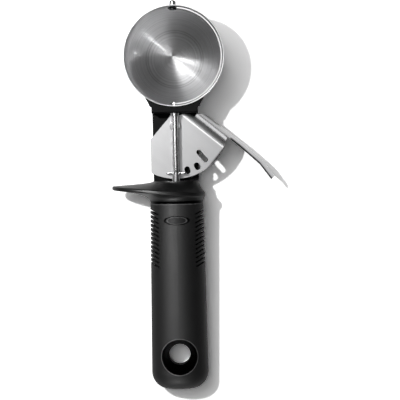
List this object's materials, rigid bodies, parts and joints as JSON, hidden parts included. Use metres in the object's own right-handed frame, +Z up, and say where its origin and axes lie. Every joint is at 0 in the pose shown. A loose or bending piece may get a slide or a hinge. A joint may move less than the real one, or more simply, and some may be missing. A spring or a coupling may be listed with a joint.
{
  "type": "ice cream scoop",
  "caption": "Lever ice cream scoop: a slotted plate on the thumb lever turns a pin pinion, which sweeps a wiper through the round bowl; soft grip with a hanging hole.",
  "frame": {"origin": "centre of the resting tool's bounding box, on the surface it rests on; the bowl's back and the end of the grip touch that surface", "axes": "+Y along the tool from the handle to the bowl's tip, +X to the lever's side, +Z up, the way the bowl opens"},
  "size_m": [0.1022, 0.2416, 0.036],
  "materials": {
    "polished_steel": "polished stainless steel",
    "satin_steel": "satin stainless steel",
    "pin_steel": "plain stainless steel",
    "spring_steel": "drawn spring wire",
    "bush_metal": "turned steel",
    "black_plastic": "moulded, semi-gloss",
    "core_plastic": "moulded, matte",
    "black_soft_grip": "soft-touch, matte",
    "badge_plastic": "blank oval inlay"
  },
  "bodies": {
    "handle": {"bowl": "polished_steel", "return_spring": "spring_steel", "pivot_pin": "pin_steel", "pivot_washer": "pin_steel", "pivot_nut": "pin_steel", "upper_bush": "bush_metal", "lower_bush": "bush_metal", "tang": "satin_steel", "neck": "black_plastic", "guard": "black_soft_grip", "handle_core": "core_plastic", "tang_pins": "pin_steel", "grip": "black_soft_grip", "badge": "badge_plastic"},
    "lever": {"lever": "satin_steel"},
    "wiper": {"wiper": "polished_steel", "spindle": "polished_steel", "cross_pin_a": "pin_steel", "cross_pin_b": "pin_steel", "tip_pivot": "polished_steel"}
  },
  "joints": [
    {"name": "lever", "type": "hinge", "parent": "handle", "child": "lever", "pos_m": [-0.01081, 0.04472, 0.02367], "axis": [0, 0.0599, -0.9982], "range_deg": [0, 24.5], "stiffness_Nm_per_rad": 0.4, "springref_deg": -14.32, "deforming": ["return_spring"]},
    {"name": "wiper", "type": "hinge", "parent": "handle", "child": "wiper", "pos_m": [-0.01081, 0.08686, 0.031], "axis": [0, 0.9982, 0.0599], "range_deg": [0, 170]}
  ],
  "couplings": [
    {"joint": "wiper", "follows": "lever", "ratio": 6.8702}
  ]
}
